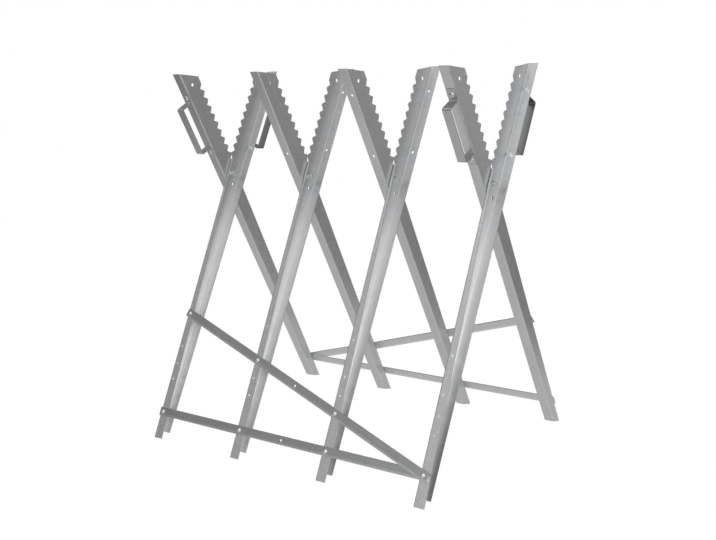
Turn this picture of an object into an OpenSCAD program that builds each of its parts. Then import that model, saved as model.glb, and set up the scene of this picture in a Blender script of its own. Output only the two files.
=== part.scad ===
// Folding stand for sawing logs: four crossed pairs of toothed sheet-steel legs in a row.
// Millimetres, +Z up, floor at Z = 0. The row runs along X, the front feet are on the -Y side.
// A leg is drawn in its own frame with the pivot at the origin: x across the leg towards the
// teeth, y out of the web into the channel, z up the leg.

/* [Row of frames] */
// height of the pivot bolts above the floor
pivot_h = 603; // [580:1:640]
// highest corner of the arms above the pivot bolts
arm_rise = 245; // [234:1:290]
// distance from one crossed frame to the next
frame_pitch = 250; // [200:1:300]
// lean of every leg from the vertical, degrees
leg_lean = 27.5; // [24:0.5:31]
// air between the two webs of a crossed pair
web_gap = 0.5; // [0.4:0.1:1.2]

/* [Leg pressing] */
// thickness of the sheet
sheet = 1.5; // [1.2:0.1:2]
// inside radius of the folds
fold_r = 2; // [1.5:0.1:2.5]
// pivot axis to the outside of the back flange
back_reach = 27.2; // [24:0.1:30]
// width of the back flange, over the web
back_flange_w = 23.4; // [21.5:0.1:27]
// width of the front flange at its top end
front_flange_top = 6.8; // [6:0.1:9]
// width of the front flange at the foot
front_flange_foot = 26.7; // [24:0.1:30]
// width of the leg across the web at the foot
foot_w = 24.3; // [22:0.1:28]
// cut of the arm's top, degrees from square
top_cut = 33.5; // [20:0.5:36]
// cut of the web and back flange at the foot, degrees from square
foot_cut = 40; // [34:0.5:45]

/* [Teeth] */
// pivot axis to the line of the tooth tips
tip_reach = 23.1; // [21.5:0.1:26]
// number of notches along an arm
notch_count = 10; // [6:1:10]
// distance from notch to notch
notch_pitch = 21.8; // [20.5:0.1:22.5]
// width of a notch at the tip line
notch_mouth = 19; // [15:0.5:20]
// depth of a notch
notch_depth = 9.5; // [8:0.1:10]
// lowest notch above the pivot axis, along the leg
lowest_notch = 31.7; // [29:0.1:35]

/* [Holes] */
// lock hole below the pivot axis, straight down
lock_drop = 30; // [26:0.5:36]
// diameter of the lock hole
lock_d = 8; // [6:0.5:9]
// hole near the top of the arm, down the leg from the arm's highest corner
arm_hole_down = 41.7; // [38:0.1:48]
// hole near the top of the arm, behind the leg's centre line
arm_hole_back = 3.5; // [0:0.5:8]
// diameter of the hole near the top of the arm
arm_hole_d = 8; // [6:0.5:9]
// flange holes from the outside of the web
hole_in = 10.3; // [9.9:0.1:10.6]
// lowest bar hole above the foot, along the leg
bar_hole_up = 65; // [50:0.5:80]
// distance from bar hole to bar hole
bar_hole_step = 81; // [70:0.5:84]
// spare hole above the lowest bar hole
spare_hole_up = 120; // [110:0.5:125]

/* [Brace bars] */
// width of the flat bars
bar_w = 20; // [16:0.5:22]
// thickness of the flat bars
bar_t = 3; // [2:0.1:4]
// bar beyond its end bolts
bar_end = 10; // [8:0.5:16]

/* [Handles] */
// width of the handle strip
handle_w = 20; // [16:0.5:20]
// thickness of the handle strip
handle_t = 2.5; // [2:0.1:3]
// inside radius of the handle's bends
handle_r = 2; // [1.5:0.1:3]
// grip length over the handle's legs
grip_len = 125; // [110:0.5:130]
// outside of the grip above the flange
grip_h = 35; // [30:0.5:45]
// length of each handle foot
handle_foot = 25; // [24:0.5:28]
// middle of the handle, down the leg from the arm's highest corner
handle_down = 138.4; // [125:0.1:145]
// handle bolts beyond the outside of the handle's legs
handle_bolt_out = 12.7; // [11:0.1:14]

/* [Fasteners] */
// diameter of the bar and handle bolts
bolt_d = 6; // [5:0.5:6]
// diameter of a domed head
head_d = 11; // [10:0.5:12]
// height of a domed head
head_h = 3.6; // [3:0.1:4.5]
// straight rim under the dome
head_rim = 0.8; // [0.4:0.1:1.2]
// width of a small nut across its flats
nut_flats = 10; // [9:0.5:10]
// height of a small nut
nut_h = 5; // [4:0.5:6]
// diameter of the pivot bolts
pivot_d = 8; // [6:0.5:8]
// width of the pivot bolt's head and nut across the flats
pivot_flats = 13; // [12:0.5:14]
// height of the pivot bolt's head
pivot_head_h = 5.3; // [4:0.1:6]
// height of the pivot nut with its locking collar
pivot_nut_h = 8; // [7:0.1:9]
// bolt end standing out of a nut
bolt_tail = 2; // [1:0.5:3]
// pivot bolt end standing out of its nut
pivot_tail = 4; // [2:0.5:6]

/* [Clearances] */
// bolt to bolt hole, over the diameter
hole_play = 0.5; // [0.3:0.1:0.8]
// pivot bolt to the turning leg, over the diameter
turn_play = 0.1; // [0.06:0.02:0.2]
// thread to thread, over the diameter
thread_play = 0.1; // [0.06:0.02:0.2]
// pivot bolt's head to the turning leg
head_gap = 0.3; // [0.3:0.1:0.6]

/* [Hidden] */
$fn = 48;
frame_count = 4;
hex = 6;
steel = [0.66, 0.67, 0.68];
zinc = [0.78, 0.79, 0.8];

// faces of a web, from the plane between the two webs of a pair
web_in = web_gap / 2;
web_out = web_in + sheet;
outer_r = fold_r + sheet;
fold_y = web_in + outer_r;
hole_y = web_in + hole_in;
bolt_hole_d = bolt_d + hole_play;

// heights along a leg from its pivot: the foot, and the arm's highest corner with what hangs from it
foot_z = -pivot_h / cos(leg_lean);
arm_top_z = (arm_rise + back_reach * sin(leg_lean)) / cos(leg_lean);
arm_hole_z = arm_top_z - arm_hole_down;
handle_z = arm_top_z - handle_down;

// blank of a leg: drawn past floor and top, then cut off
past = 60;
blank_low = foot_z - past;
blank_high = arm_top_z + past;

// front fold: starts in the bottom of the lowest notch and slants back to the foot
fold_top_x = tip_reach - notch_depth;
fold_foot_x = foot_w - back_reach - outer_r;
fold_run = lowest_notch - foot_z;
fold_slant = atan((fold_top_x - fold_foot_x) / fold_run);
fold_len = fold_run / cos(fold_slant);

// heights along the front fold, downwards from its top
low_hole_z = bar_hole_up - fold_len;
high_hole_z = low_hole_z + 3 * bar_hole_step;
spare_hole_z = low_hole_z + spare_hole_up;

// holes along a bar, counted in frames, with a spare one at its middle
bar_holes = [1, 2, 2.5, 3, 4];

// diagonal bar: flat on three legs, then stepped out over the end of the low bar
row_len = (frame_count - 1) * frame_pitch;
bar_slope = atan((high_hole_z - low_hole_z) / row_len);
diagonal_len = row_len / cos(bar_slope);
diagonal_step = diagonal_len / (frame_count - 1);
ramp_from = (frame_count - 2) * diagonal_step + front_flange_foot;
ramp_to = diagonal_len - bar_w * (1 + cos(bar_slope)) / 2 / sin(bar_slope) - bar_t;

// Places

function frame_x(i) = (i - (frame_count + 1) / 2) * frame_pitch;

// pivot of frame i, square to the frame
module at_pivot(i) {
    translate([frame_x(i), 0, pivot_h])
        children();
}

// leg frame of front leg i
module at_front(i) {
    at_pivot(i)
        rotate([-leg_lean, 0, 0])
            rotate([0, 0, -90])
                children();
}

// leg frame of rear leg i: the front set turned half round
module at_rear(i) {
    rotate([0, 0, 180])
        at_front(frame_count + 1 - i)
            children();
}

// top of the front fold: x out of the flange, y along the row, z up the fold
module at_fold() {
    translate([fold_top_x, 0, lowest_notch])
        rotate([0, fold_slant, 0])
            children();
}

// bar hole of frame k on the outside of the front flange, step 0 the lowest, out along x
module at_bar_hole(k, step) {
    at_fold()
        translate([outer_r, hole_y + (k - 1) * frame_pitch, low_hole_z + step * bar_hole_step])
            children();
}

// handle hole on the outside of the back flange, side -1 the lower and 1 the upper, out along -x
module at_handle_hole(side) {
    translate([-back_reach, hole_y, handle_z + side * (grip_len / 2 + handle_bolt_out)])
        children();
}

// round bar along x, from x = from to x = to
module bar_x(d, from, to) {
    translate([from, 0, 0])
        rotate([0, 90, 0])
            cylinder(d = d, h = to - from);
}

// round bar along y, from y = from to y = to
module bar_y(d, from, to) {
    translate([0, to, 0])
        rotate([90, 0, 0])
            cylinder(d = d, h = to - from);
}

// Leg pressing

function notch_z(k) = lowest_notch + k * notch_pitch;

// web from the back fold to the tooth tips; below the teeth it laps into the slanted fold's strip
module web_outline() {
    lap = sheet;
    lap_top_x = fold_top_x - lap * (1 + tan(fold_slant));
    lap_low_x = fold_top_x - lap - (lowest_notch - blank_low) * tan(fold_slant);
    notches = [
        for (k = [notch_count - 1:-1:1])
            each [
                [tip_reach, notch_z(k) + notch_mouth / 2],
                [tip_reach - notch_depth, notch_z(k)],
                [tip_reach, notch_z(k) - notch_mouth / 2]
            ]
    ];
    polygon(concat(
        [
            [outer_r - back_reach, blank_low],
            [outer_r - back_reach, blank_high],
            [tip_reach, blank_high]
        ],
        notches,
        [
            [tip_reach, lowest_notch + notch_mouth / 2],
            [fold_top_x, lowest_notch],
            [lap_top_x, lowest_notch - lap],
            [lap_low_x, blank_low]
        ]
    ));
}

// section through a fold: a strip of web, the bend and the flange, x = 0 where the bend starts
module fold_section(flange_w) {
    translate([-outer_r, web_in])
        square([outer_r, sheet]);
    translate([0, fold_y])
        intersection() {
            difference() {
                circle(r = outer_r);
                circle(r = fold_r);
            }
            translate([0, -outer_r])
                square(outer_r);
        }
    translate([fold_r, fold_y])
        square([sheet, flange_w - outer_r]);
}

module web() {
    translate([0, web_out, 0])
        rotate([90, 0, 0])
            linear_extrude(sheet)
                web_outline();
}

module back_flange() {
    translate([outer_r - back_reach, 0, blank_low])
        mirror([1, 0, 0])
            linear_extrude(blank_high - blank_low)
                fold_section(back_flange_w);
}

// front flange along the slanted fold, growing from the lowest notch to the foot
module front_flange() {
    growth = (front_flange_foot - front_flange_top) / fold_len;
    run = lowest_notch - blank_low;
    widest = front_flange_top + growth * run;
    corner = front_flange_top - outer_r;
    at_fold()
        difference() {
            translate([0, 0, -run])
                linear_extrude(run)
                    fold_section(widest);
            rotate([90, 0, 90])
                linear_extrude(outer_r + sheet)
                    polygon([
                        [fold_y, sheet],
                        [fold_y, 0],
                        [web_in + front_flange_top, -corner],
                        [web_in + widest, -run],
                        [web_in + widest + sheet, -run],
                        [web_in + widest + sheet, sheet]
                    ]);
        }
}

// side view of what is left after the ends are cut: the top slants down to the teeth, the front
// flange stands level on the floor and the rest of the foot is cut clear of it
module end_cuts() {
    far_x = tip_reach + past;
    back_x = -back_reach - past;
    function top_z(x) = arm_top_z - (x + back_reach) * tan(top_cut);
    function floor_z(x) = (-pivot_h - x * sin(leg_lean)) / cos(leg_lean);
    translate([0, frame_pitch / 2, 0])
        rotate([90, 0, 0])
            linear_extrude(frame_pitch / 2)
                polygon([
                    [back_x, floor_z(fold_foot_x) + (fold_foot_x - back_x) * tan(foot_cut)],
                    [fold_foot_x, floor_z(fold_foot_x)],
                    [far_x, floor_z(far_x)],
                    [far_x, top_z(far_x)],
                    [back_x, top_z(back_x)]
                ]);
}

module leg_holes() {
    through = [web_in - sheet, web_out + sheet];
    bar_y(pivot_d + turn_play, through[0], through[1]);
    rotate([0, leg_lean, 0])
        translate([0, 0, -lock_drop])
            bar_y(lock_d, through[0], through[1]);
    translate([-arm_hole_back, 0, arm_hole_z])
        bar_y(arm_hole_d, through[0], through[1]);
    for (side = [-1, 1])
        at_handle_hole(side)
            bar_x(bolt_hole_d, -sheet, 2 * sheet);
    for (step = [0:3])
        at_bar_hole(1, step)
            bar_x(bolt_hole_d, -2 * sheet, sheet);
    at_fold()
        translate([outer_r, hole_y, spare_hole_z])
            bar_x(bolt_hole_d, -2 * sheet, sheet);
}

module leg() {
    color(steel)
        difference() {
            intersection() {
                union() {
                    web();
                    back_flange();
                    front_flange();
                }
                end_cuts();
            }
            leg_holes();
        }
}

// Brace bars, drawn on the fold of the first leg of a side

module low_bar() {
    color(steel)
        difference() {
            at_bar_hole(1, 0)
                translate([0, -bar_end, -bar_w / 2])
                    cube([bar_t, row_len + 2 * bar_end, bar_w]);
            for (k = bar_holes)
                at_bar_hole(k, 0)
                    bar_x(bolt_hole_d, -bar_t, 2 * bar_t);
        }
}

// flat strip seen along its width, with the ramp that lifts its end over the low bar
module diagonal_profile() {
    polygon([
        [0, -bar_end],
        [0, ramp_from],
        [bar_t, ramp_to],
        [bar_t, diagonal_len + bar_end],
        [2 * bar_t, diagonal_len + bar_end],
        [2 * bar_t, ramp_to],
        [bar_t, ramp_from],
        [bar_t, -bar_end]
    ]);
}

module diagonal_bar() {
    color(steel)
        at_bar_hole(1, 3)
            rotate([-bar_slope, 0, 0])
                difference() {
                    translate([0, 0, -bar_w / 2])
                        linear_extrude(bar_w)
                            diagonal_profile();
                    for (k = bar_holes)
                        translate([0, (k - 1) * diagonal_step, 0])
                            bar_x(bolt_hole_d, -bar_t, 3 * bar_t);
                }
}

// Handles

// half of the bent strip: grip, bend, leg, bend, foot; x away from the flange, y along it
module handle_half() {
    leg_y = grip_len / 2;
    bend_out = handle_r + handle_t;
    translate([grip_h - handle_t, 0])
        square([handle_t, leg_y - bend_out]);
    translate([grip_h - bend_out, leg_y - bend_out])
        intersection() {
            difference() {
                circle(r = bend_out);
                circle(r = handle_r);
            }
            square(bend_out);
        }
    translate([bend_out, leg_y - handle_t])
        square([grip_h - 2 * bend_out, handle_t]);
    translate([bend_out, leg_y + handle_r])
        intersection() {
            difference() {
                circle(r = bend_out);
                circle(r = handle_r);
            }
            translate([-bend_out, -bend_out])
                square(bend_out);
        }
    translate([0, leg_y + handle_r])
        square([handle_t, handle_foot - handle_r]);
}

module handle() {
    color(steel)
        difference() {
            translate([-back_reach, hole_y + handle_w / 2, handle_z])
                rotate([90, 0, 0])
                    linear_extrude(handle_w)
                        mirror([1, 0])
                            union() {
                                handle_half();
                                mirror([0, 1])
                                    handle_half();
                            }
            for (side = [-1, 1])
                at_handle_hole(side)
                    bar_x(bolt_hole_d, -2 * handle_t, handle_t);
        }
}

// Fasteners

// six-sided nut blank from x = 0 to x = h, its outer corners turned off
module hex_x(flats, h) {
    across = flats / cos(180 / hex);
    turned = across / 2 - flats / 2;
    rotate([0, 90, 0])
        intersection() {
            cylinder(d = across, h = h, $fn = hex);
            union() {
                cylinder(d = across + turned, h = h - turned);
                translate([0, 0, h - turned])
                    cylinder(d1 = across + turned, d2 = flats, h = turned);
            }
        }
}

// domed bolt: head outwards from x = 0, shank inwards through grip, flange and nut
module domed_bolt(grip) {
    dome_h = head_h - head_rim;
    ball_r = (head_d * head_d / 4 + dome_h * dome_h) / 2 / dome_h;
    shank_len = grip + sheet + nut_h + bolt_tail;
    color(zinc)
        rotate([0, 90, 0])
            rotate_extrude()
                union() {
                    intersection() {
                        translate([0, head_h - ball_r])
                            circle(r = ball_r);
                        square([head_d / 2, head_h]);
                    }
                    translate([0, -shank_len])
                        square([bolt_d / 2, shank_len + head_rim]);
                }
}

// small nut on the inside of a flange whose outside is at x = 0
module small_nut() {
    color(zinc)
        translate([-sheet, 0, 0])
            difference() {
                mirror([1, 0, 0])
                    hex_x(nut_flats, nut_h);
                bar_x(bolt_d + thread_play, -2 * nut_h, nut_h);
            }
}

module bar_bolts() {
    for (k = [1:frame_count - 1]) {
        at_bar_hole(k, 0)
            translate([bar_t, 0, 0])
                domed_bolt(bar_t);
        at_bar_hole(k, frame_count - k)
            translate([bar_t, 0, 0])
                domed_bolt(bar_t);
    }
    at_bar_hole(frame_count, 0)
        translate([2 * bar_t, 0, 0])
            domed_bolt(2 * bar_t);
}

module bar_nuts() {
    for (k = [1:frame_count]) {
        at_bar_hole(k, 0)
            small_nut();
        if (k < frame_count)
            at_bar_hole(k, frame_count - k)
                small_nut();
    }
}

module handle_bolt_pair() {
    for (side = [-1, 1])
        at_handle_hole(side)
            mirror([1, 0, 0])
                translate([handle_t, 0, 0])
                    domed_bolt(handle_t);
}

module handle_nut_pair() {
    for (side = [-1, 1])
        at_handle_hole(side)
            mirror([1, 0, 0])
                small_nut();
}

// pivot bolt of frame i: head in the rear leg's channel, nut and tail in the front leg's
module pivot_bolt(i) {
    head_x = -web_out - head_gap;
    color(zinc)
        at_pivot(i) {
            translate([head_x, 0, 0])
                mirror([1, 0, 0])
                    hex_x(pivot_flats, pivot_head_h);
            bar_x(pivot_d, head_x - pivot_head_h / 2, web_out + pivot_nut_h + pivot_tail);
        }
}

// self-locking nut of frame i: six-sided body and round collar
module pivot_nut(i) {
    collar_h = pivot_nut_h / 4;
    color(zinc)
        at_pivot(i)
            translate([web_out, 0, 0])
                difference() {
                    union() {
                        hex_x(pivot_flats, pivot_nut_h - collar_h);
                        bar_x(pivot_flats - 2 * sheet, 0, pivot_nut_h);
                    }
                    bar_x(pivot_d + thread_play, -sheet, pivot_nut_h + sheet);
                }
}

at_front(1) leg();  // front_leg_1
at_front(2) leg();  // front_leg_2
at_front(3) leg();  // front_leg_3
at_front(4) leg();  // front_leg_4
at_rear(1) leg();  // rear_leg_1
at_rear(2) leg();  // rear_leg_2
at_rear(3) leg();  // rear_leg_3
at_rear(4) leg();  // rear_leg_4
at_front(1) low_bar();  // front_low_bar
at_front(1) diagonal_bar();  // front_diagonal_bar
at_rear(4) low_bar();  // rear_low_bar
at_rear(4) diagonal_bar();  // rear_diagonal_bar
at_front(1) handle();  // handle_front_1
at_front(4) handle();  // handle_front_4
at_rear(1) handle();  // handle_rear_1
at_rear(4) handle();  // handle_rear_4
pivot_bolt(1);  // pivot_bolt_1
pivot_bolt(2);  // pivot_bolt_2
pivot_bolt(3);  // pivot_bolt_3
pivot_bolt(4);  // pivot_bolt_4
pivot_nut(1);  // pivot_nut_1
pivot_nut(2);  // pivot_nut_2
pivot_nut(3);  // pivot_nut_3
pivot_nut(4);  // pivot_nut_4
at_front(1) bar_bolts();  // front_bar_bolts
at_front(1) bar_nuts();  // front_bar_nuts
at_rear(4) bar_bolts();  // rear_bar_bolts
at_rear(4) bar_nuts();  // rear_bar_nuts
union() {  // front_handle_bolts
    at_front(1) handle_bolt_pair();
    at_front(4) handle_bolt_pair();
}
union() {  // front_handle_nuts
    at_front(1) handle_nut_pair();
    at_front(4) handle_nut_pair();
}
union() {  // rear_handle_bolts
    at_rear(1) handle_bolt_pair();
    at_rear(4) handle_bolt_pair();
}
union() {  // rear_handle_nuts
    at_rear(1) handle_nut_pair();
    at_rear(4) handle_nut_pair();
}
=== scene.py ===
import math

import bpy
import numpy as np
from mathutils import Matrix


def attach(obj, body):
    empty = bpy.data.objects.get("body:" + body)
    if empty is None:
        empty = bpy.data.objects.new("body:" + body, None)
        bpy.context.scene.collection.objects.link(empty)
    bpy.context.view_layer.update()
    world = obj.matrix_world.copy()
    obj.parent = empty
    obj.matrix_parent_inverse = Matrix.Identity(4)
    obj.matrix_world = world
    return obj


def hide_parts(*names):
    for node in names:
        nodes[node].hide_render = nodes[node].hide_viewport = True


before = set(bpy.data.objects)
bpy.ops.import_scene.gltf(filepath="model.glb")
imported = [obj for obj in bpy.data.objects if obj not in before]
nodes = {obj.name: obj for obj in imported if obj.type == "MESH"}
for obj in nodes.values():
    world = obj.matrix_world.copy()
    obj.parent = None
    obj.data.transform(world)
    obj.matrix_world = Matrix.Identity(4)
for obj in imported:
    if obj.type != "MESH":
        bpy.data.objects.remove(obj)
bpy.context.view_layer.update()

# Front legs
# Each is one pressing of hot-dip galvanised sheet: blanked with ten notches along the arm, then folded
# to a channel. The zinc keeps a faint frost of crystals and the long streaks of the rolled coil.

LEAN = math.radians(27.5)
PIVOT_HEIGHT = 0.603
SHEET = 0.0015
TOOTH_LINE = 0.0231
NOTCH_DEPTH = 0.0095
NOTCH_MOUTH = 0.019
NOTCH_PITCH = 0.0218
LOWEST_NOTCH = 0.0317
PITCH = 0.25
BACK_REACH = 0.0272
FOOT_WIDTH = 0.0243
BEND = 0.0035
FOLD_TOP = TOOTH_LINE - NOTCH_DEPTH
FOLD_RUN = LOWEST_NOTCH + PIVOT_HEIGHT / math.cos(LEAN)
FOLD_SLANT = math.atan((FOLD_TOP - FOOT_WIDTH + BACK_REACH + BEND) / FOLD_RUN)

CRYSTALS, STREAKS, CLOUDS, SMUDGES = 240.0, 520.0, 11.0, 28.0
STREAK_LENGTH = 0.012
RUB_WIDTH = 0.0022
# The sheet's plain tint, the lighter tint of painted light inside the lower channel, and the darker tint
# of painted shade on the channel's lips near the right-hand frames' feet.
PAINTED_LIGHT_RISE = (0.03, -0.18)
PAINTED_SHADE_LIP, PAINTED_SHADE_RISE, PAINTED_SHADE_ROW = (0.007, 0.021), (-0.32, -0.58), (-0.1, 0.4)
PLAIN_SHEET_ZINC = ((0.64, 0.646, 0.653), (0.96, 0.966, 0.972))
PAINTED_LIGHT_ZINC = ((0.93, 0.935, 0.94), (0.985, 0.99, 0.995))
PAINTED_SHADE_ZINC = (0.5, 0.505, 0.51, 1.0)


class Value:
    """A socket in a shader tree. Arithmetic on it adds Math nodes, and node() adds any other node."""

    def __init__(self, tree, socket=None):
        self.tree = tree
        self.socket = socket

    def node(self, kind, settings=None, inputs=None, output=0):
        """Add a node: its settings are set first, then its sockets are set or linked."""
        made = self.tree.nodes.new(kind)
        for name, setting in (settings or {}).items():
            setattr(made, name, setting)
        for name, value in (inputs or {}).items():
            if isinstance(value, Value):
                self.tree.links.new(value.socket, made.inputs[name])
            else:
                made.inputs[name].default_value = value
        return Value(self.tree, made.outputs[output] if made.outputs else None)

    def math(self, operation, *terms):
        """Any of the Math node's operations on values and numbers."""
        return self.node("ShaderNodeMath", {"operation": operation}, dict(enumerate(terms)))

    def __add__(self, other):
        return self.math("ADD", self, other)

    def __sub__(self, other):
        return self.math("SUBTRACT", self, other)

    def __mul__(self, other):
        return self.math("MULTIPLY", self, other)

    def __rsub__(self, other):
        return self.math("SUBTRACT", other, self)

    __radd__ = __add__
    __rmul__ = __mul__

    def step(self, low, high):
        """0 where the value is at low, 1 where it is at high, smooth between them."""
        return self.node("ShaderNodeMapRange", {"interpolation_type": "SMOOTHSTEP"},
                         {"Value": self, "From Min": low, "From Max": high})

    def stretched(self, *factors):
        """The vector with each part multiplied by its own factor."""
        return self.node("ShaderNodeVectorMath", {"operation": "MULTIPLY"}, {0: self, 1: factors})

    def parts(self):
        """The x, y and z of a vector."""
        return [self.node("ShaderNodeSeparateXYZ", None, {0: self}, axis) for axis in range(3)]

    def noise(self, scale, detail=2.0):
        """Smooth noise between 0 and 1, about scale lumps to the metre."""
        return self.node("ShaderNodeTexNoise", None, {"Vector": self, "Scale": scale, "Detail": detail})

    def mix(self, first, second):
        """A colour between two, the value being the share of the second."""
        return self.node("ShaderNodeMix", {"data_type": "RGBA"}, {0: self, 6: first, 7: second}, 2)

    def tint(self, dark, light):
        """A tone between a dark and a light one, the value being the share of the light one."""
        return self.mix((*dark, 1.0), (*light, 1.0))


def metal(name):
    """A new material with an all-metal shader: its tree, its shader node, and object coordinates."""
    made = bpy.data.materials.new(name)
    made.use_nodes = True
    shader = made.node_tree.nodes["Principled BSDF"]
    shader.inputs["Metallic"].default_value = 1.0
    place = Value(made.node_tree).node("ShaderNodeTexCoord", output="Object")
    return made, shader, place


def wire(shader, **sockets):
    """Link values to a shader's sockets, whose spaces are written here as underscores."""
    for name, value in sockets.items():
        value.tree.links.new(value.socket, shader.inputs[name.replace("_", " ")])


def galvanised_sheet(name, side, painted_arm_light):
    """Zinc-coated sheet in the leaning frame of the front legs (side 1) or the rear legs (side -1).

    Crystals are cells a few millimetres wide, each with its own tone. Streaks are noise drawn out along
    the leg. A point's distance inside the zigzag of the notches gives the band that logs rub bright. The
    whole arm above the pivot is brightened by a given share: painted light. Inside the lower channel,
    between the web and both flanges, the zinc is made lighter as painted light, and it is made darker as
    painted shade on the lips near the right-hand frames' feet.
    """
    made, shader, place = metal(name)
    along = place.node("ShaderNodeMapping", {"vector_type": "TEXTURE"},
                       {"Vector": place, "Location": (0.0, 0.0, PIVOT_HEIGHT),
                        "Rotation": (-side * LEAN, 0.0, 0.0)})
    row, across, up = along.parts()
    to_teeth = across * -side
    cells = place.node("ShaderNodeTexVoronoi", None, {"Vector": along, "Scale": CRYSTALS}, "Color")
    crystal = cells.parts()[0]
    streak = along.stretched(1.0, 1.0, STREAK_LENGTH).noise(STREAKS, 3.0)
    cloud = along.noise(CLOUDS, 3.0)
    smudge = along.noise(SMUDGES, 4.0).step(0.5, 0.72)

    turn = place.math("PINGPONG", up - LOWEST_NOTCH, NOTCH_PITCH / 2)
    notch = NOTCH_DEPTH - turn * (2.0 * NOTCH_DEPTH / NOTCH_MOUTH)
    edge = TOOTH_LINE - place.math("MAXIMUM", notch, 0.0)
    on_arm = up.step(LOWEST_NOTCH - 0.004, LOWEST_NOTCH)
    rubbed = (edge - to_teeth).step(RUB_WIDTH, 0.1 * RUB_WIDTH) * on_arm * cloud.step(0.3, 0.6)

    off_web = place.math("PINGPONG", row + PITCH / 2, PITCH / 2)
    behind = to_teeth + BACK_REACH
    before = FOLD_TOP + BEND + math.tan(FOLD_SLANT) * (up - LOWEST_NOTCH) - to_teeth
    wall = (0.4 * SHEET, 0.6 * SHEET)
    in_channel = off_web.step(0.6 * SHEET, 0.9 * SHEET) * behind.step(*wall) * before.step(*wall)
    # Painted light: the zinc inside the lower channel is made lighter. Painted shade: the lips near the
    # right-hand frames' feet are made darker.
    painted_channel_light = in_channel * up.step(*PAINTED_LIGHT_RISE)
    painted_lip_shade = painted_channel_light * off_web.step(*PAINTED_SHADE_LIP) * up.step(*PAINTED_SHADE_RISE) * row.step(*PAINTED_SHADE_ROW)

    # Painted light: the whole arm above the pivot is brightened by the given share.
    tone = 0.25 * crystal + 0.65 * streak + 0.1 * cloud + 0.25 * rubbed + painted_arm_light * up.step(0.0, 0.12)
    colour = painted_lip_shade.mix(painted_channel_light.mix(tone.tint(*PLAIN_SHEET_ZINC), tone.tint(*PAINTED_LIGHT_ZINC)), PAINTED_SHADE_ZINC)
    rough = 0.33 + 0.05 * crystal + 0.05 * streak + 0.06 * smudge - 0.08 * rubbed
    height = 0.6 * streak + 0.4 * crystal
    relief = place.node("ShaderNodeBump", None, {"Strength": 0.12, "Distance": 0.0001, "Height": height})
    wire(shader, Base_Color=colour, Roughness=rough, Normal=relief)
    return made


def clad(material, *names):
    """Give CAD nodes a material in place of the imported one."""
    for name in names:
        nodes[name].data.materials.clear()
        nodes[name].data.materials.append(material)


FRAMES = (1, 2, 3, 4)
clad(galvanised_sheet("front_leg_sheet", 1, painted_arm_light=0.0), *["front_leg_%d" % i for i in FRAMES])

# Rear legs
# The same pressings turned half round and set back to back with the front ones, so the rolled
# streaks and the rubbed teeth lean the other way. Their arms above the pivot are brightened with
# painted light.

clad(galvanised_sheet("rear_leg_sheet", -1, painted_arm_light=0.2), *["rear_leg_%d" % i for i in FRAMES])

# Pivot bolts and nuts
# One M8 hexagon bolt through each crossed pair, zinc-plated steel. Its head is in the rear leg's
# channel, and a self-locking nut with a round collar holds it in the front leg's.

WEB_GAP = 0.0005
HEAD_GAP = 0.0003
PIVOT_THREAD = 0.008
PIVOT_FLATS = 0.013
PIVOT_HEAD = 0.0053
PIVOT_NUT = 0.008
PIVOT_TAIL = 0.004
PIVOT_PITCH = 0.00125
ROUND = 2.0 * np.pi * np.arange(48) / 48
MM = 0.001
BORE_GAP = 0.05 * MM
WASHER_FACE, WASHER_RISE = 0.47, 0.3 * MM
CHAMFER, CHAMFER_ROWS = 0.06, 6
THREAD_ROWS, THREAD_DEPTH, THREAD_POINT = 8, 0.6, 0.38
CREASE = math.radians(32.0)
PLATE_CLOUDS, PLATE_SCRATCHES = 420.0, 2600.0
PLATE_ZINC = ((0.8, 0.808, 0.816), (0.97, 0.975, 0.98))


def hexagon(flats):
    """Distance from a hexagon's middle to its edge: half the flats over the cosine to the nearest flat."""
    return flats / 2 / np.cos(np.mod(ROUND, np.pi / 3) - np.pi / 6)


def hexagon_rows(flats, seat, face):
    """Rows of a hexagon from its seat to its chamfered face, along the bolt.

    Near the face each row is the lesser of the hexagon and a 30 degree cone, which gives the flats
    their curved upper edges; the seat ends in a thin round washer face. The washer's radius and the
    depth of the cone are shares of the width over the flats.
    """
    sign = np.sign(face - seat)
    depth = flats * np.linspace(CHAMFER, 0.0, CHAMFER_ROWS)
    cone = WASHER_FACE * flats + depth[:, None] * math.sqrt(3.0)
    raised = seat + sign * WASHER_RISE
    heights = np.concatenate([[seat, raised, raised], face - sign * depth])
    disc = np.full_like(ROUND, WASHER_FACE * flats)
    radii = np.vstack([disc, disc, hexagon(flats), np.minimum(hexagon(flats), cone)])
    return heights, radii


def thread_rows(diameter, pitch, start, end):
    """Rows of a screw thread: the radius follows a flattened zigzag of height / pitch - angle / turn.

    The zigzag is stretched and clipped, so crests and roots are flat. The last turn is cut down by a
    cone, as a rolled bolt end is.
    """
    count = THREAD_ROWS * int(round(abs(end - start) / pitch)) + 1
    heights = np.linspace(start, end, count)
    phase = np.mod(heights[:, None] / pitch - ROUND / (2 * np.pi), 1.0)
    ridge = np.clip(1.5 * np.abs(2.0 * phase - 1.0) - 0.2, 0.0, 1.0)
    radii = diameter / 2 - THREAD_DEPTH * pitch * (1.0 - ridge)
    return heights, np.minimum(radii, THREAD_POINT * diameter + np.abs(end - heights)[:, None])


def skin(heights, radii):
    """Rings of points round the bolt axis, which is the third coordinate: one row for each height."""
    rows = np.broadcast_to(np.asarray(heights)[:, None], radii.shape)
    return np.stack([radii * np.cos(ROUND), radii * np.sin(ROUND), rows], axis=2)


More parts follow.
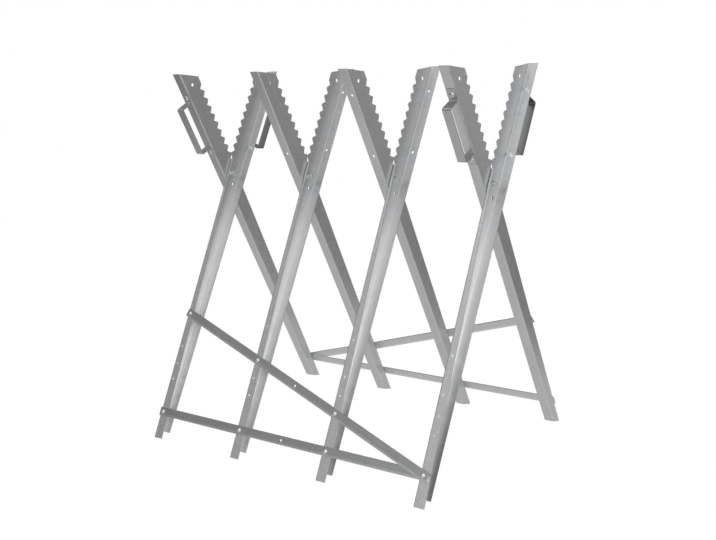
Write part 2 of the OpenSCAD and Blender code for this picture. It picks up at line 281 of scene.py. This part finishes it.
def join(rings, hollow):
    """Points and faces of a stack of rings: each ring is joined to the next by four-sided faces.

    A hollow stack closes on its first ring, as a nut does through its bore; any other is capped at both
    ends. The signed volume decides which way round the faces are read, so that they look outwards.
    """
    count, around = rings.shape[:2]
    index = np.arange(count * around).reshape(count, around)
    here = index if hollow else index[:-1]
    after = np.roll(index, -1, axis=0) if hollow else index[1:]
    quads = np.stack([here, np.roll(here, -1, axis=1), np.roll(after, -1, axis=1), after], axis=2)
    quads = quads.reshape(-1, 4)
    points = rings.reshape(-1, 3)
    corner = points[quads]
    volume = np.einsum("ij,ij->", corner[:, 0], np.cross(corner[:, 1], corner[:, 2]))
    caps = [] if hollow else [index[0, ::-1], index[-1]]
    faces = quads.tolist() + [cap.tolist() for cap in caps]
    return points, faces if volume > 0 else [face[::-1] for face in faces]


def fasteners(name, shapes, spots):
    """One mesh with a shape at each spot: a place and three directions, the last along the bolt."""
    points, faces, used = [], [], 0
    for (shape, shape_faces), (origin, axes) in zip(shapes, spots):
        points.append(shape @ np.array(axes) + origin)
        faces += [[used + corner for corner in face] for face in shape_faces]
        used += len(shape)
    mesh = bpy.data.meshes.new(name)
    mesh.from_pydata(np.vstack(points).tolist(), [], faces)
    mesh.shade_smooth()
    mesh.set_sharp_from_angle(angle=CREASE)
    piece = bpy.data.objects.new(name, mesh)
    bpy.context.scene.collection.objects.link(piece)
    return piece


def zinc_plate(name):
    """Bright zinc over turned steel: fine clouding in tone and gloss, and a grain of tiny scratches."""
    made, shader, place = metal(name)
    cloud = place.noise(PLATE_CLOUDS, 3.0)
    scratch = place.stretched(1.0, 0.2, 1.0).noise(PLATE_SCRATCHES)
    colour = (0.6 * cloud + 0.4 * scratch).tint(*PLATE_ZINC)
    relief = place.node("ShaderNodeBump", None, {"Strength": 0.1, "Distance": 0.00005, "Height": scratch})
    wire(shader, Base_Color=colour, Roughness=0.22 + 0.14 * cloud, Normal=relief)
    return made


def fit(piece, material, body, node):
    """A finished fastener piece stands for its CAD node and rides with that node's body."""
    piece.data.materials.append(material)
    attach(piece, body)
    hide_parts(node)


pivot_zinc = zinc_plate("pivot_zinc")
web_out = WEB_GAP / 2 + SHEET
under_head = web_out + HEAD_GAP
nut_end = -web_out - PIVOT_NUT
shank = np.full((2, len(ROUND)), PIVOT_THREAD / 2)
head = hexagon_rows(PIVOT_FLATS, under_head, under_head + PIVOT_HEAD)
tail = thread_rows(PIVOT_THREAD, PIVOT_PITCH, nut_end + 0.5 * MM, nut_end - PIVOT_TAIL)
pivot_bolt = join(skin(np.concatenate([head[0][::-1], [under_head, nut_end + 0.5 * MM], tail[0]]),
                       np.vstack([head[1][::-1], shank, tail[1]])), False)

collar_from = nut_end + PIVOT_NUT / 4
body_rows = hexagon_rows(PIVOT_FLATS, -web_out, collar_from)
collar_r = PIVOT_FLATS / 2 - SHEET
bore_r = PIVOT_THREAD / 2 + BORE_GAP
collar = np.array([(collar_r, collar_from), (collar_r, nut_end + 0.8 * MM),
                   (collar_r - 0.25 * MM, nut_end + 0.25 * MM), (collar_r - 0.8 * MM, nut_end),
                   (bore_r + 0.35 * MM, nut_end), (bore_r, nut_end + 0.4 * MM),
                   (bore_r, -web_out - 0.5 * MM), (bore_r + 0.4 * MM, -web_out)])
pivot_nut = join(skin(np.concatenate([body_rows[0], collar[:, 1]]),
                      np.vstack([body_rows[1], np.repeat(collar[:, :1], len(ROUND), axis=1)])), True)

for i in FRAMES:
    spot = (np.array([(i - 2.5) * PITCH, 0.0, PIVOT_HEIGHT]), [(0, 0, 1), (0, 1, 0), (-1, 0, 0)])
    for part, shape in (("pivot_bolt_%d" % i, pivot_bolt), ("pivot_nut_%d" % i, pivot_nut)):
        fit(fasteners("zinc_" + part, [shape], [spot]), pivot_zinc, "front_frame", part)

# Brace bars
# Hot-rolled flat bar, 20 by 3 mm, cropped to length, punched and galvanised. A low bar and a diagonal
# one tie the four legs of a side; where both meet the last leg, the diagonal bar lies on the low one.

HOLE_IN = 0.0103
LOWEST_HOLE = 0.065
HOLE_STEP = 0.081
BAR_WIDTH = 0.02
BAR_STREAKS, BAR_LINES, BAR_CRYSTALS, BAR_CLOUDS = 310.0, 2400.0, 150.0, 14.0
STREAK_STRETCH, LINE_STRETCH = 0.016, 0.02
DULL_BAR = ((0.38, 0.386, 0.392), (0.77, 0.777, 0.784))
BRIGHT_BAR = ((0.7, 0.707, 0.713), (0.98, 0.985, 0.99))


def leg_axes(side):
    """World directions of a leg: across it to the teeth, out of the web, and up the leg."""
    rise, run = math.sin(LEAN), math.cos(LEAN)
    return np.array([(0.0, -side * run, rise), (side, 0.0, 0.0), (0.0, side * rise, run)])


def bar_spot(side, k, step):
    """Hole of frame k along a bar, step 0 the lowest: down the front fold, which slants to the foot."""
    teeth, out, up = leg_axes(side)
    down = LOWEST_HOLE + step * HOLE_STEP - FOLD_RUN / math.cos(FOLD_SLANT)
    flange = math.cos(FOLD_SLANT) * teeth - math.sin(FOLD_SLANT) * up
    fold = math.sin(FOLD_SLANT) * teeth + math.cos(FOLD_SLANT) * up
    row = WEB_GAP / 2 + HOLE_IN + (k - 1) * PITCH
    first = np.array([-side * 1.5 * PITCH, 0.0, PIVOT_HEIGHT])
    fold_start = first + FOLD_TOP * teeth + LOWEST_NOTCH * up
    return fold_start + BEND * flange + row * out + down * fold, [out, fold, flange]


def rolled_bar(name, side, rise, dark, light):
    """Galvanised flat bar from the lowest hole of leg 4 to a hole of leg 1, rise steps further up.

    Object space is moved to the bar's last hole and turned to lie along it. Streaks and fine lines are
    noise drawn out along the bar, broad clouds dull the gloss, and a painted highlight makes the lower
    part of the bar a little brighter.
    """
    made, shader, place = metal(name)
    last, (_, _, flange) = bar_spot(side, 4, 0)
    along = bar_spot(side, 1, rise)[0] - last
    along /= np.linalg.norm(along)
    turned = Matrix(np.stack([along, flange, np.cross(along, flange)], axis=1).tolist())
    lying = place.node("ShaderNodeMapping", {"vector_type": "TEXTURE"},
                       {"Vector": place, "Location": last, "Rotation": turned.to_euler()})
    # Painted highlight: a band below the bar's middle, out to its lower edge, is made lighter.
    lower = lying.parts()[2].step(-0.15 * BAR_WIDTH, -0.4 * BAR_WIDTH)
    streak = lying.stretched(STREAK_STRETCH, 1.0, 1.0).noise(BAR_STREAKS, 3.0)
    lines = lying.stretched(LINE_STRETCH, 1.0, 1.0).noise(BAR_LINES)
    cells = place.node("ShaderNodeTexVoronoi", None, {"Vector": lying, "Scale": BAR_CRYSTALS}, "Color")
    crystal = cells.parts()[0]
    cloud = lying.noise(BAR_CLOUDS, 3.0)
    tone = 0.55 * streak + 0.2 * lines + 0.1 * crystal + 0.25 * cloud - 0.1 + 0.45 * lower
    colour = tone.tint(dark, light)
    rough = 0.26 + 0.1 * streak + 0.05 * cloud
    relief = place.node("ShaderNodeBump", None, {"Strength": 0.15, "Distance": 0.0001, "Height": streak})
    wire(shader, Base_Color=colour, Roughness=rough, Normal=relief)
    return made


clad(rolled_bar("front_low_bar_steel", 1, 0, *DULL_BAR), "front_low_bar")
clad(rolled_bar("front_diagonal_bar_steel", 1, 3, *DULL_BAR), "front_diagonal_bar")
clad(rolled_bar("rear_low_bar_steel", -1, 0, *BRIGHT_BAR), "rear_low_bar")
clad(rolled_bar("rear_diagonal_bar_steel", -1, 3, *BRIGHT_BAR), "rear_diagonal_bar")

# Bar bolts and nuts
# M6 bolts with plain domed heads, zinc-plated, through bar and flange, each with a hexagon nut inside
# the channel. The bolt at the low end of the diagonal bar is longer and holds both bars.

BOLT = 0.006
DOME = 0.011
DOME_HEIGHT = 0.0036
DOME_RIM = 0.0008
NUT_FLATS = 0.01
NUT_HEIGHT = 0.005
BOLT_TAIL = 0.002
BOLT_PITCH = 0.001
BAR = 0.003


def domed_bolt(grip):
    """A domed bolt whose seat is grip above the flange: cap of a ball, straight rim, shank and thread."""
    rise = DOME_HEIGHT - DOME_RIM
    ball = ((DOME / 2) ** 2 + rise ** 2) / 2 / rise
    sweep = np.linspace(0.04, 1.0, 12) * math.asin(DOME / 2 / ball)
    cap = np.stack([ball * np.sin(sweep), grip + DOME_HEIGHT - ball + ball * np.cos(sweep)], axis=1)
    end = -SHEET - NUT_HEIGHT
    neck = np.array([(DOME / 2, grip + 0.2 * MM), (DOME / 2 - 0.2 * MM, grip), (BOLT / 2, grip),
                     (BOLT / 2, end + 0.5 * MM)])
    outline = np.vstack([cap, neck])
    tail = thread_rows(BOLT, BOLT_PITCH, end + 0.5 * MM, end - BOLT_TAIL)
    radii = np.vstack([np.repeat(outline[:, :1], len(ROUND), axis=1), tail[1]])
    return join(skin(np.concatenate([outline[:, 1], tail[0]]), radii), False)


def small_nut():
    """A chamfered hexagon nut under the flange, its bore countersunk at both ends."""
    body_rows = hexagon_rows(NUT_FLATS, -SHEET, -SHEET - NUT_HEIGHT)
    bore = BOLT / 2 + BORE_GAP
    inner = np.array([(bore + 0.4 * MM, -SHEET - NUT_HEIGHT), (bore, -SHEET - NUT_HEIGHT + 0.4 * MM),
                      (bore, -SHEET - 0.4 * MM), (bore + 0.4 * MM, -SHEET)])
    radii = np.vstack([body_rows[1], np.repeat(inner[:, :1], len(ROUND), axis=1)])
    return join(skin(np.concatenate([body_rows[0], inner[:, 1]]), radii), True)


bar_zinc = zinc_plate("bar_bolt_zinc")
bar_bolts = [domed_bolt(BAR)] * 6 + [domed_bolt(2 * BAR)]
bar_holes = [(1, 0), (2, 0), (3, 0), (1, 3), (2, 2), (3, 1), (4, 0)]
SIDES = ((1, "front_frame", "front"), (-1, "rear_frame", "rear"))
for side, body, word in SIDES:
    spots = [bar_spot(side, k, step) for k, step in bar_holes]
    fit(fasteners("zinc_%s_bar_bolts" % word, bar_bolts, spots), bar_zinc, body, word + "_bar_bolts")
    fit(fasteners("zinc_%s_bar_nuts" % word, [small_nut()] * 7, spots), bar_zinc, body, word + "_bar_nuts")

# Handles
# Flat strip bent to a flat-topped bow, galvanised, one on the back flange of each arm of the two end
# frames. The bends are pressed cold, so the strip keeps its straight rolling streaks.

FRONT_STRIP = ((0.3, 0.305, 0.31), (0.42, 0.425, 0.43))
REAR_STRIP = ((0.585, 0.592, 0.598), (0.78, 0.787, 0.793))
NEW_STRIP = ((0.84, 0.847, 0.853), (0.95, 0.955, 0.96))
STRIP_STREAKS, STRIP_CLOUDS = 800.0, 24.0


def handle_strip(name, side, dark, light):
    """Galvanised strip: streaks along the arm's lean, a cloud of handling that dulls the gloss."""
    made, shader, place = metal(name)
    along = place.node("ShaderNodeMapping", {"vector_type": "TEXTURE"},
                       {"Vector": place, "Rotation": (-side * LEAN, 0.0, 0.0)})
    streak = along.stretched(1.0, 0.3, STREAK_LENGTH).noise(STRIP_STREAKS, 3.0)
    cloud = along.noise(STRIP_CLOUDS, 3.0)
    colour = (0.55 * streak + 0.45 * cloud).tint(dark, light)
    relief = place.node("ShaderNodeBump", None, {"Strength": 0.12, "Distance": 0.0001, "Height": streak})
    wire(shader, Base_Color=colour, Roughness=0.26 + 0.08 * streak + 0.08 * cloud, Normal=relief)
    return made


clad(handle_strip("front_handle_strip", 1, *FRONT_STRIP), "handle_front_1", "handle_front_4")
clad(handle_strip("rear_handle_strip", -1, *REAR_STRIP), "handle_rear_4")
clad(handle_strip("new_handle_strip", -1, *NEW_STRIP), "handle_rear_1")

# Handle bolts and nuts
# Two of the same domed M6 bolts through each handle's feet and the back flange, with their nuts in the
# channel, where they stay clear of the log.

STRIP = 0.0025
ARM_RISE = 0.245
HANDLE_DOWN = 0.1384
HANDLE_BOLT = 0.0752


def handle_spot(side, i, end):
    """Bolt hole of the handle on arm i, end 1 the upper and -1 the lower, outside the back flange."""
    teeth, out, up = leg_axes(side)
    top = (ARM_RISE + BACK_REACH * math.sin(LEAN)) / math.cos(LEAN)
    pivot = np.array([(i - 2.5) * PITCH, 0.0, PIVOT_HEIGHT])
    height = top - HANDLE_DOWN + end * HANDLE_BOLT
    return pivot - BACK_REACH * teeth + (WEB_GAP / 2 + HOLE_IN) * out + height * up, [-out, up, -teeth]


handle_zinc = zinc_plate("handle_bolt_zinc")
for side, body, word in SIDES:
    spots = [handle_spot(side, i, end) for i in (1, 4) for end in (-1, 1)]
    bolts = fasteners("zinc_%s_handle_bolts" % word, [domed_bolt(STRIP)] * 4, spots)
    fit(bolts, handle_zinc, body, word + "_handle_bolts")
    nuts = fasteners("zinc_%s_handle_nuts" % word, [small_nut()] * 4, spots)
    fit(nuts, handle_zinc, body, word + "_handle_nuts")

# Studio
# White paper on the floor of a grey room, before a white backdrop that only the camera sees. Soft light
# comes from above the front, from overhead and faintly from behind, and a wide panel stands at the right.

PAPER_HALF = 4.0
PAPER_MATT = 0.08
PAPER_SEEN = 0.9752
POOL_FROM, POOL_TO = 0.8, 1.5
POOL_LIGHT, POOL_EDGE = 0.53, 0.17
ROOM_GREY = 0.115
SOFT_LIGHTS = ((-3, 42, 7.0, 1.04), (0, 85, 5.0, 0.385), (163, 15, 8.0, 0.385), (72, 30, 7.0, 0.2))
PANEL_TURN = math.radians(55.0)
PANEL_AWAY, PANEL_HEIGHT = 2.4, 0.77
PANEL_WIDTH, PANEL_TALL = 3.6, 1.5
PANEL_LEVEL = 0.9

corners = PAPER_HALF * np.array([(-1.0, -1.0, 0.0), (1.0, -1.0, 0.0), (1.0, 1.0, 0.0), (-1.0, 1.0, 0.0)])
paper_mesh = bpy.data.meshes.new("paper_floor")
paper_mesh.from_pydata(corners.tolist(), [], [(0, 1, 2, 3)])
paper = bpy.data.objects.new("paper_floor", paper_mesh)
bpy.context.scene.collection.objects.link(paper)

# The camera sees the paper white. Metal sees a pool of light round the stand that fades outwards, and a
# small matt share of the paper takes the stand's shadow.
paper_white = bpy.data.materials.new("paper_white")
paper_white.use_nodes = True
paper_white.node_tree.nodes.clear()
sight = Value(paper_white.node_tree)
place = sight.node("ShaderNodeTexCoord", output="Object")
camera_ray = sight.node("ShaderNodeLightPath", output="Is Camera Ray")
glossy_ray = sight.node("ShaderNodeLightPath", output="Is Glossy Ray")
through_ray = sight.node("ShaderNodeLightPath", output="Is Transmission Ray")
reach = sight.node("ShaderNodeVectorMath", {"operation": "LENGTH"}, {0: place}, "Value")
pool = POOL_LIGHT - (POOL_LIGHT - POOL_EDGE) * reach.step(POOL_FROM, POOL_TO)
glow = camera_ray.math("MAXIMUM", PAPER_SEEN / (1.0 - PAPER_MATT) * camera_ray, pool)
matt = sight.node("ShaderNodeBsdfDiffuse", None, {"Color": (0.9, 0.9, 0.9, 1.0)})
white = sight.node("ShaderNodeEmission", None, {"Strength": glow})
seen = camera_ray.math("MINIMUM", camera_ray + glossy_ray + through_ray, 1.0)
both = sight.node("ShaderNodeMixShader", None, {0: (1.0 - PAPER_MATT) * seen, 1: matt, 2: white})
sight.node("ShaderNodeOutputMaterial", None, {"Surface": both})
paper_mesh.materials.append(paper_white)

# Each soft light is a lobe round an azimuth and elevation in degrees, given with its tightness and gain.
room = bpy.data.worlds.new("studio_room")
bpy.context.scene.world = room
room.use_nodes = True
room.node_tree.nodes.clear()
sight = Value(room.node_tree)
way = sight.node("ShaderNodeTexCoord", output="Generated")
camera_ray = sight.node("ShaderNodeLightPath", output="Is Camera Ray")
level = ROOM_GREY
for azimuth, elevation, tightness, gain in SOFT_LIGHTS:
    turn, lift = math.radians(azimuth), math.radians(elevation)
    middle = (math.sin(turn) * math.cos(lift), -math.cos(turn) * math.cos(lift), math.sin(lift))
    facing = sight.node("ShaderNodeVectorMath", {"operation": "DOT_PRODUCT"}, {0: way, 1: middle}, "Value")
    level = level + gain * facing.math("EXPONENT", tightness * (facing - 1.0))
strength = level.math("MAXIMUM", camera_ray, level * (1.0 - camera_ray))
around = sight.node("ShaderNodeBackground", None, {"Color": (1.0, 1.0, 1.0, 1.0), "Strength": strength})
sight.node("ShaderNodeOutputWorld", None, {"Surface": around})
bpy.context.scene.view_settings.view_transform = "Standard"

panel_light = bpy.data.lights.new("side_panel", "AREA")
panel_light.shape = "RECTANGLE"
panel_light.size, panel_light.size_y = PANEL_WIDTH, PANEL_TALL
panel_light.energy = PANEL_LEVEL * math.pi * PANEL_WIDTH * PANEL_TALL
panel = bpy.data.objects.new("side_panel", panel_light)
panel.location = (PANEL_AWAY * math.sin(PANEL_TURN), -PANEL_AWAY * math.cos(PANEL_TURN), PANEL_HEIGHT)
panel.rotation_euler = (math.pi / 2, 0.0, PANEL_TURN)
panel.visible_camera = False
bpy.context.scene.collection.objects.link(panel)

# Camera
# Stands to the right of the row's front, a little above its arms, and looks slightly down; the
# photograph is tilted by under two degrees.

FOCAL_PIXELS = 1066.9
PHOTO_WIDTH = 716
SENSOR = 36.0
CAMERA_AT = np.array([1.5138, -1.9211, 0.8410])
LOOK = np.array([-0.604679, 0.775235, -0.182686])
TILT = math.radians(-1.761)
right = np.cross(LOOK, (0.0, 0.0, 1.0))
right /= np.linalg.norm(right)
above = np.cross(right, LOOK)
tilted_right = math.cos(TILT) * right + math.sin(TILT) * above
tilted_above = math.cos(TILT) * above - math.sin(TILT) * right
pose = np.eye(4)
pose[:3, 0] = tilted_right
pose[:3, 1] = tilted_above
pose[:3, 2] = -LOOK
pose[:3, 3] = CAMERA_AT
camera_data = bpy.data.cameras.new("photo_camera")
camera_data.sensor_fit = "HORIZONTAL"
camera_data.sensor_width = SENSOR
camera_data.lens = FOCAL_PIXELS * SENSOR / PHOTO_WIDTH
camera = bpy.data.objects.new("photo_camera", camera_data)
camera.matrix_world = pose.T.tolist()
bpy.context.scene.collection.objects.link(camera)
bpy.context.scene.camera = camera
